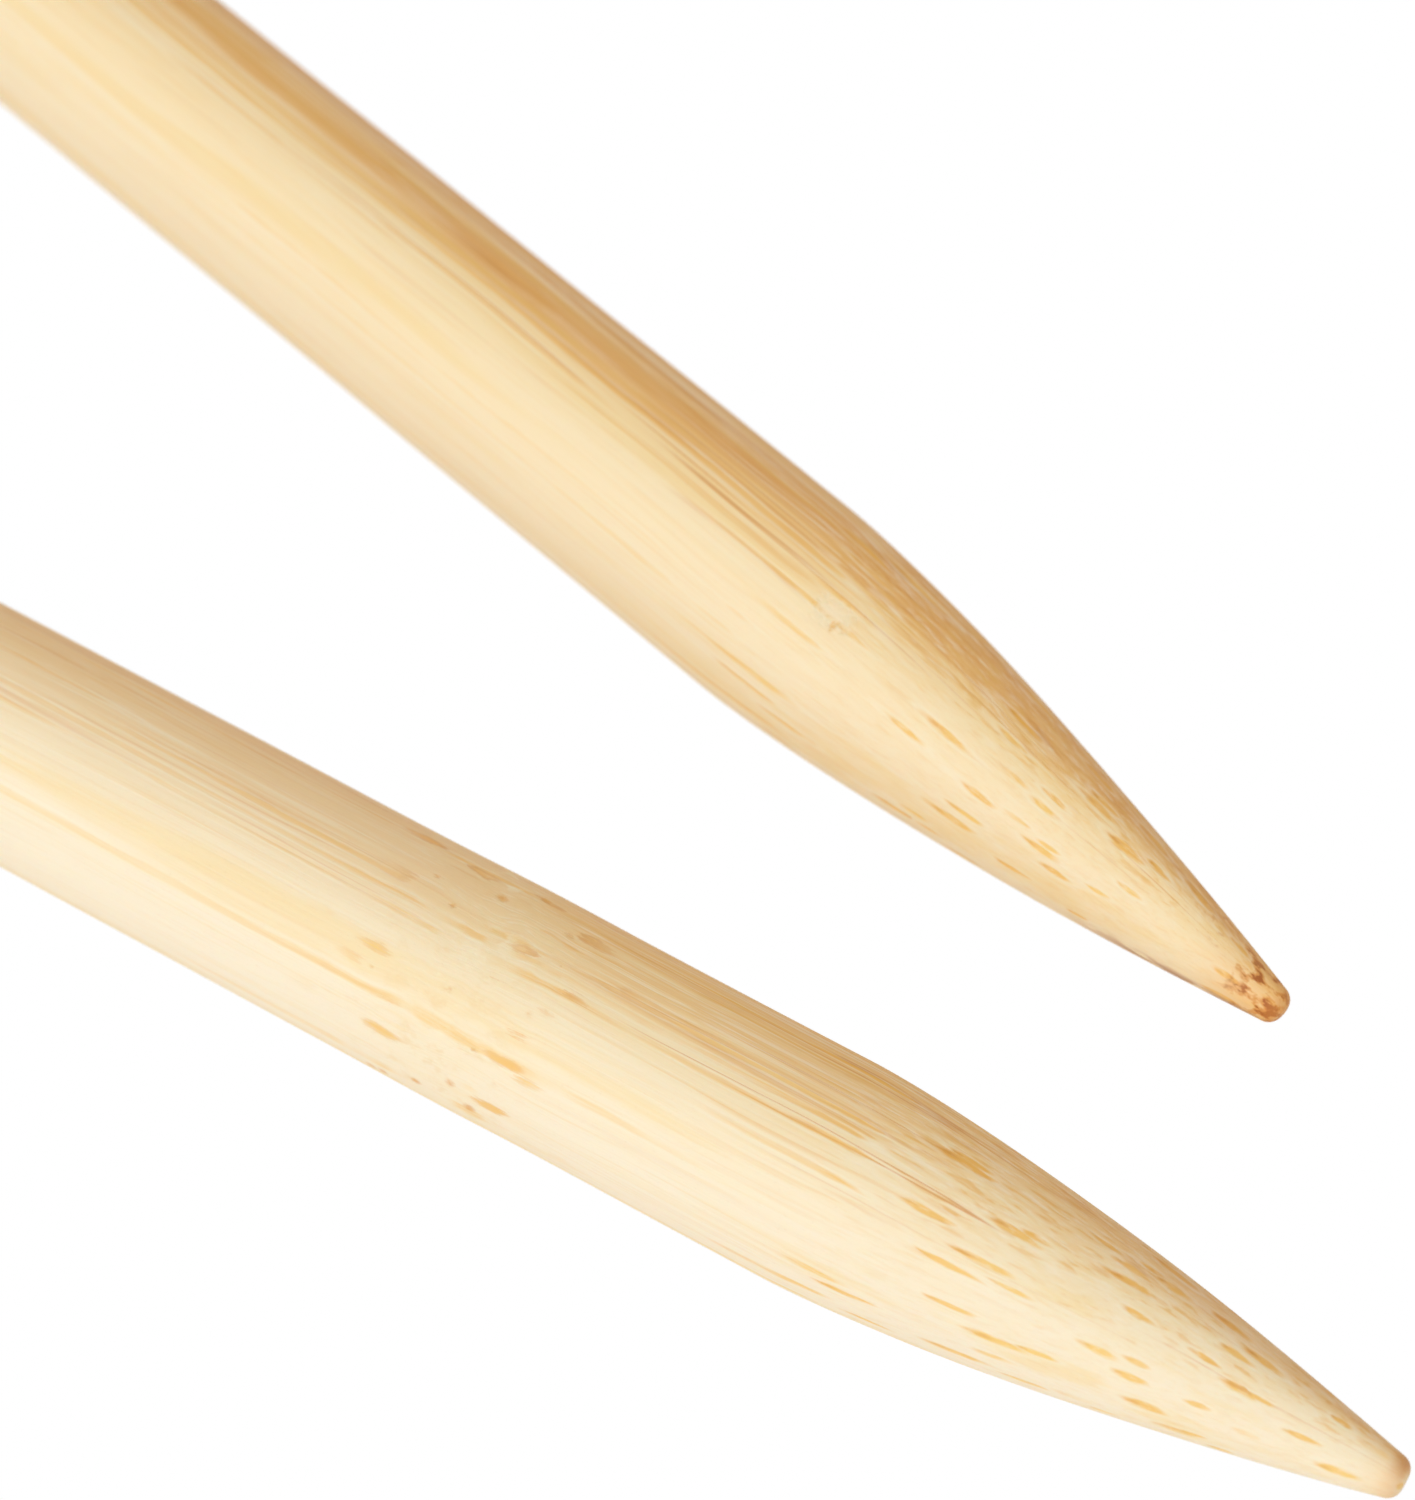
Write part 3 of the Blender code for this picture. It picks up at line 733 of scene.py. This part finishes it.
def lathe(name, side, stations, sides, material, shape=None, sharp=32.0):
    """A turned solid from its top pole, down its outside and up its bore.

    shape(angles, height, radius) gives radii that depart from the round.
    """
    angles = np.arange(sides) * 2.0 * math.pi / sides
    points, rings = [], []
    for radius, height in stations:
        if radius < 1e-6:
            rings.append([len(points)])
            points.append((0.0, 0.0, height))
            continue
        radii = np.full(sides, float(radius))
        if shape is not None:
            radii = shape(angles, float(height), float(radius))
        rings.append(list(range(len(points), len(points) + sides)))
        points += [(r * math.cos(t), r * math.sin(t), height) for r, t in zip(radii, angles)]
    faces = []
    for upper, lower in zip(rings[:-1], rings[1:]):
        for k in range(sides):
            n = (k + 1) % sides
            if len(upper) == 1:
                faces.append((upper[0], lower[k], lower[n]))
            elif len(lower) == 1:
                faces.append((upper[k], lower[0], upper[n]))
            else:
                faces.append((upper[k], lower[k], lower[n], upper[n]))
    matrix = np.array(FRAMES[side])
    grain = np.array(points, float)
    placed = grain @ matrix[:3, :3].T + matrix[:3, 3]
    return mesh_piece(name, grain, placed, faces, material, sharp)


TAPERS = {
    "right": {"end_r": 0.82, "length": 26.8, "fullness": 1.52},
    "left": {"end_r": 0.72, "length": 28.5, "fullness": 1.48},
}
# hand-sanded waves: (turns around, radians per mm along, phase)
WAVES = {
    "right": [(2, 0.11, 0.4), (3, -0.23, 1.7), (5, 0.41, 2.9), (7, -0.13, 0.6)],
    "left": [(2, -0.09, 2.2), (3, 0.19, 0.3), (5, -0.37, 1.1), (8, 0.17, 2.4)],
}


def bamboo_profile(end_r, length, fullness):
    """Stations (radius, height) from the blunt end over the taper and butt into the bore."""
    corner_r = 0.66
    # the corner's arc meets the taper without a step
    lean = math.atan((SHAFT_R - end_r) * fullness / length)
    flat_r = end_r - corner_r * (1.0 - math.sin(lean)) / math.cos(lean)
    stations = [(flat_r * i / 4.0, TIP_LENGTH) for i in range(5)]
    quarter = math.radians(90.0)
    for i in range(1, 10):
        t = quarter + (lean - quarter) * i / 9.0
        height = TIP_LENGTH - corner_r * (1.0 - math.sin(t))
        stations.append((flat_r + corner_r * math.cos(t), height))
    corner_depth = corner_r * (1.0 - math.sin(lean))

    taper_steps = 150
    for i in range(1, taper_steps + 1):
        back = corner_depth + (length - corner_depth) * (i / taper_steps) ** 1.15
        share = max(0.0, 1.0 - back / length)
        radius = end_r + (SHAFT_R - end_r) * (1.0 - share**fullness)
        stations.append((radius, TIP_LENGTH - back))

    taper_start = TIP_LENGTH - length
    count = int(taper_start - BUTT_LENGTH)
    for i in range(1, count):
        stations.append((SHAFT_R, taper_start + (BUTT_LENGTH - taper_start) * i / count))

    butt_steps = 40
    for i in range(butt_steps):
        t = i / butt_steps
        ease = t * t * (3.0 - 2.0 * t)
        stations.append((SHAFT_R + (BUTT_R - SHAFT_R) * ease, BUTT_LENGTH * (1.0 - t)))
    return stations + [
        (BUTT_R, 0.12), (BUTT_R - 0.05, 0.04), (BUTT_R - 0.14, 0.0),
        (BORE_R + 0.10, 0.0), (BORE_R, 0.10), (BORE_R, BORE_DEPTH), (0.0, BORE_DEPTH),
    ]


def bamboo_tip(side):
    def sanded(angles, height, radius):
        """Out of round by a few hundredths, more on the taper, and swollen at the joint."""
        if radius <= BORE_R + 0.11 and height <= BORE_DEPTH + 0.01:
            return np.full_like(angles, radius)
        wave = np.zeros_like(angles)
        for k, (turns, rate, phase) in enumerate(WAVES[side]):
            wave += np.sin(turns * angles + rate * height + phase) / (1.0 + 0.35 * k)
        back = TIP_LENGTH - height
        end_fade = min(1.0, back / 2.0) * min(1.0, height / 3.0)
        amount = 0.022 + 0.022 * math.exp(-(((back - 14.0) / 9.0) ** 2))
        swell = 0.0
        if side == "right":
            swell = 0.045 * math.exp(-(((height - STEM_JOINT_AT) / 3.2) ** 2))
        radii = radius + wave / 2.2 * amount * end_fade
        return np.minimum(radii + swell * (0.6 + 0.4 * np.sin(2 * angles + 0.7)), SHAFT_R + 0.06)

    profile = bamboo_profile(**TAPERS[side])
    obj = lathe(side + "_bamboo", side, profile, 144, BAMBOO[side], sanded, sharp=50.0)
    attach(obj, side + "_needle")
    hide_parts(side + "_bamboo_tip")


def ferrule(side):
    mouth = -FERRULE_LENGTH
    # (radius, height, fillet): spigot in the bore, grooved outside, then up the inside
    profile = [
        (0.0, 13.0, 0), (1.70, 13.0, 0.10), (2.00, 12.7, 0.10), (2.00, 0.0, 0), (2.0, -0.05, 0),
        (2.73, -0.05, 0.08), (2.75, -0.5, 0.1), (2.75, -1.45, 0.16), (2.55, -1.62, 0.08),
        (2.55, -1.95, 0.08), (2.70, -2.12, 0.10), (2.70, -2.42, 0.10), (2.55, -2.58, 0.08),
        (2.56, -2.85, 0.08), (2.68, -3.05, 0.12), (2.62, -5.0, 0.6), (2.52, -7.0, 0.8),
        (2.40, -8.9, 0.5), (2.34, -9.35, 0.10), (2.20, -9.50, 0.06), (2.20, -9.72, 0.06),
        (2.36, -9.88, 0.10), (2.36, -10.55, 0.20), (2.16, mouth, 0.12), (1.95, mouth, 0.06),
        (1.90, mouth + 0.12, 0.05), (1.90, mouth + 3.8, 0), (1.60, mouth + 3.8, 0),
        (1.60, 4.0, 0.2), (0.0, 4.0, 0),
    ]
    name = side + "_ferrule_turned"
    obj = lathe(name, side, filleted(profile), 96, NICKEL)
    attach(obj, side + "_needle")
    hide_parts(side + "_ferrule")


def end_fitting(side):
    head = -FERRULE_LENGTH + HEAD_INSET
    top, end = -FITTING_START, -CABLE_EXIT
    # (radius, height, fillet): head and neck, grooved outside, then up the cable's socket
    profile = [
        (0.0, head + 1.6, 0), (1.20, head + 1.6, 0.12), (1.45, head + 1.35, 0.10),
        (1.45, head, 0.08), (0.90, head, 0.08), (0.90, top, 0.10),
        (2.02, top, 0.10), (2.28, top - 0.22, 0.14), (2.30, top - 1.3, 0.3),
        (2.20, top - 1.5, 0.08), (2.20, top - 1.75, 0.08), (2.30, top - 1.95, 0.1),
        (2.30, top - 3.1, 0.2), (2.04, top - 3.55, 0.25), (2.02, top - 4.75, 0.25),
        (2.26, top - 5.2, 0.2), (2.26, top - 6.3, 0.2), (2.00, top - 6.8, 0.25),
        (2.00, top - 7.9, 0.25), (2.20, top - 8.35, 0.2), (2.10, end + 0.5, 0.25),
        (1.86, end, 0.14), (1.66, end, 0.06), (1.56, end + 0.18, 0.06),
        (1.56, end + 7.0, 0), (0.0, end + 7.0, 0),
    ]
    crimps = (top - 4.15, top - 7.35)

    def crimped(angles, height, radius):
        """Both crimps were pressed by six jaws, which left shallow flats."""
        press = sum(math.exp(-(((height - middle) / 0.62) ** 4)) for middle in crimps)
        if radius < 1.9 or press < 0.01:
            return np.full_like(angles, radius)
        return radius + press * (0.055 * np.cos(6.0 * angles) - 0.03)

    name = side + "_end_fitting"
    obj = lathe(name, side, filleted(profile), 96, STEEL, crimped)
    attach(obj, "cable_01" if side == "right" else "cable_20")
    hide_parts(side + "_cable_end_fitting")


for side in SIDES:
    bamboo_tip(side)
    ferrule(side)
    end_fitting(side)
    for part, material in (("_retaining_bush", BRASS), ("_thrust_washer", ACETAL)):
        materials = frame["nodes"][side + part].data.materials
        materials.clear()
        materials.append(material)

# ======================================================================================
# Cable: one smooth line, in nineteen pieces that each reach across one hinge
# ======================================================================================
exits = {side: FRAMES[side] @ Vector((0.0, 0.0, -CABLE_EXIT)) for side in SIDES}
alongs = {side: Vector(SWIVELS[side]["axis"]).normalized() for side in SIDES}
hinges = [Vector(joints["cable_%02d" % i]["pos_m"]) for i in range(2, CABLE_LENGTHS + 1)]
knots = [exits["right"], *hinges, exits["left"]]
tangents = [
    -alongs["right"] * PITCH,
    *((knots[i + 1] - knots[i - 1]) / 2.0 for i in range(1, CABLE_LENGTHS)),
    alongs["left"] * PITCH,
]


def cable_at(place):
    """Point and direction of the centre line; whole places between the ends are hinges."""
    if place <= 0.0:
        direction = tangents[0].normalized()
        return knots[0] + direction * (place * PITCH), direction
    if place >= CABLE_LENGTHS:
        direction = tangents[-1].normalized()
        return knots[-1] + direction * ((place - CABLE_LENGTHS) * PITCH), direction
    i = int(place)
    t = place - i
    weights = (
        (knots[i], 2 * t**3 - 3 * t**2 + 1, 6 * t**2 - 6 * t),
        (tangents[i], t**3 - 2 * t**2 + t, 3 * t**2 - 4 * t + 1),
        (knots[i + 1], 3 * t**2 - 2 * t**3, 6 * t - 6 * t**2),
        (tangents[i + 1], t**3 - t**2, 3 * t**2 - 2 * t),
    )
    point, slope = Vector(), Vector()
    for vector, weight, slope_weight in weights:
        point += vector * weight
        slope += vector * slope_weight
    return point, slope.normalized()


def cable_stations(i):
    """(place, share of the radius) along piece i; places count cable lengths."""
    first, last = i == 1, i == CABLE_LENGTHS - 1
    start = -INSIDE_FITTING / PITCH if first else i - 0.5
    end = CABLE_LENGTHS + INSIDE_FITTING / PITCH if last else i + 0.5
    tuck = 0.9 * MM / PITCH  # how far a piece reaches inside the next
    step_in = 0.002 * tuck
    tucked, tip = 0.985, 0.86  # shares of the radius
    tip_length = 0.012
    steps = int(round((end - start) * 26))
    places = [start + (end - start) * k / steps for k in range(steps + 1)]
    before = [(start - tuck, tucked), (start - step_in, tucked)]
    after = [(end + step_in, tucked), (end + tuck, tucked)]
    if first:
        before = [(start, tip)]
        places[0] += tip_length
    if last:
        after = [(end, tip)]
        places[-1] -= tip_length
    return before + [(place, 1.0) for place in places] + after


def cable_piece(i):
    """Piece i lies along cable length i before its hinge and length i + 1 after it."""
    sides = 40
    stations = cable_stations(i)
    world, grain, faces = [], [], []
    for place, share in stations:
        point, direction = cable_at(place)
        x = UP.cross(direction).normalized()
        y = direction.cross(x)
        radius = CABLE_R * share
        for k in range(sides):
            angle = 2.0 * math.pi * k / sides
            c, s = math.cos(angle), math.sin(angle)
            world.append(point + (x * c + y * s) * radius * MM)
            grain.append((radius * c, radius * s, place * PITCH / MM))
    last_ring = (len(stations) - 1) * sides
    for ring in range(0, last_ring, sides):
        for j in range(sides):
            n = (j + 1) % sides
            faces.append((ring + j, ring + sides + j, ring + sides + n, ring + n))
    faces.append(tuple(range(sides)))
    faces.append(tuple(last_ring + j for j in range(sides)))
    obj = mesh_piece(
        "cable_length_%02d" % i, grain, world, faces, NYLON, sharp=60.0
    )
    bend = [tuple(cable_at(place)[0]) for place in (i - 0.5, i + 0.5)]
    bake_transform(obj)
    replaced = ["cable_segment_%02d" % i]
    if i == CABLE_LENGTHS - 1:
        replaced.append("cable_segment_%02d" % CABLE_LENGTHS)
    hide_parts(*replaced)


for i in range(1, CABLE_LENGTHS):
    cable_piece(i)

# ======================================================================================
# Floor, light and camera, in metres
# ======================================================================================
scene = bpy.context.scene
scene.view_settings.view_transform = "Standard"
scene.view_settings.look = "None"
scene.view_settings.exposure = 0.0
scene.view_settings.gamma = 1.0


def floor():
    """Pale for the light that falls on it, but clear to the camera and from below,
    so that a needle or a bend of the cable below it still shows, in the same light."""
    bpy.ops.mesh.primitive_plane_add(size=6.0, location=(0.0, 0.0, -0.00005))
    plane = bpy.context.object
    plane.name = "floor"
    graph = Graph(bpy.data.materials.new("pale_floor"))
    clear = graph.value("ShaderNodeBsdfTransparent")
    matte = graph.value("ShaderNodeBsdfDiffuse", {"Color": (0.76, 0.71, 0.64, 1.0)})
    glow = graph.value("ShaderNodeEmission", {"Color": (1.0, 0.95, 0.86, 1.0), "Strength": 0.13})
    pale = graph.value("ShaderNodeAddShader", {0: matte, 1: glow})
    to_camera = graph.value("ShaderNodeLightPath", output="Is Camera Ray")
    from_below = graph.value("ShaderNodeNewGeometry", output="Backfacing")
    hidden = graph.math("MAXIMUM", to_camera, from_below)
    surface = graph.value("ShaderNodeMixShader", {0: hidden, 1: pale, 2: clear})
    graph.node("ShaderNodeOutputMaterial", {0: surface})
    plane.data.materials.append(graph.owner)


def sky():
    """Soft light, brighter from one side, in front of a white backdrop."""
    scene.world = bpy.data.worlds.new("studio")
    graph = Graph(scene.world)
    where = graph.value("ShaderNodeTexCoord", output="Generated")
    bright_side = Vector((-0.10, -0.80, 0.60)).normalized()
    facing = graph.vector("DOT_PRODUCT", where, bright_side)
    soft = facing.ramp(start=-0.7, full=0.9, low=0.55, high=0.80)
    # reflections see a darker room with one bright side, so metal and nylon keep their shape
    room = facing.ramp(start=0.05, full=0.80, low=0.14, high=1.30)
    ray = graph.node("ShaderNodeLightPath").outputs

    def choose(test, otherwise, chosen):
        inputs = {0: ray[test], 2: otherwise, 3: chosen}
        return graph.value("ShaderNodeMix", inputs, data_type="FLOAT")

    strength = choose("Is Camera Ray", choose("Is Glossy Ray", soft, room), 1.0)
    inputs = {"Color": (1.0, 1.0, 1.0, 1.0), "Strength": strength}
    graph.node("ShaderNodeOutputWorld", {0: graph.value("ShaderNodeBackground", inputs)})


def disk_light(name, place, size, power, colour=(1.0, 1.0, 1.0)):
    aim = Vector((0.09, 0.0, 0.005))
    light = bpy.data.lights.new(name, "AREA")
    light.shape = "DISK"
    light.size = size
    light.energy = power
    light.color = colour
    obj = bpy.data.objects.new(name, light)
    obj.location = place
    obj.rotation_euler = (aim - Vector(place)).to_track_quat("-Z", "Y").to_euler()
    scene.collection.objects.link(obj)


def view():
    """Looks down on both points from beyond them, a little to the near side."""
    target = Vector((0.10521, 0.00678, 0.004985))
    distance, focus_distance = 0.21835, 0.209
    azimuth, elevation, roll = math.radians(40.19), math.radians(65.0), -0.0695
    forward = Vector((
        -math.cos(elevation) * math.sin(azimuth),
        math.cos(elevation) * math.cos(azimuth),
        -math.sin(elevation),
    ))
    level = Vector((math.cos(azimuth), math.sin(azimuth), 0.0))
    upright = level.cross(forward)
    right = level * math.cos(roll) + upright * math.sin(roll)
    up = upright * math.cos(roll) - level * math.sin(roll)
    pose = Matrix((right, up, -forward)).transposed().to_4x4()
    pose.translation = target - forward * distance

    lens = bpy.data.cameras.new("camera")
    lens.sensor_width = 36.0
    lens.lens = 122.58
    lens.clip_start = 0.005
    lens.clip_end = 20.0
    camera = bpy.data.objects.new("camera", lens)
    camera.matrix_world = pose
    scene.collection.objects.link(camera)
    scene.camera = camera
    sharp_at = bpy.data.objects.new("sharp_at", None)
    sharp_at.location = pose.translation + forward * focus_distance
    scene.collection.objects.link(sharp_at)
    lens.dof.use_dof = True
    lens.dof.focus_object = sharp_at
    lens.dof.aperture_fstop = 35.0


floor()
sky()
disk_light("key", place=(0.02, -0.62, 0.62), size=0.60, power=1.6, colour=(1.0, 0.985, 0.96))
disk_light("fill", place=(0.45, -0.25, 0.80), size=0.9, power=0.6)
view()
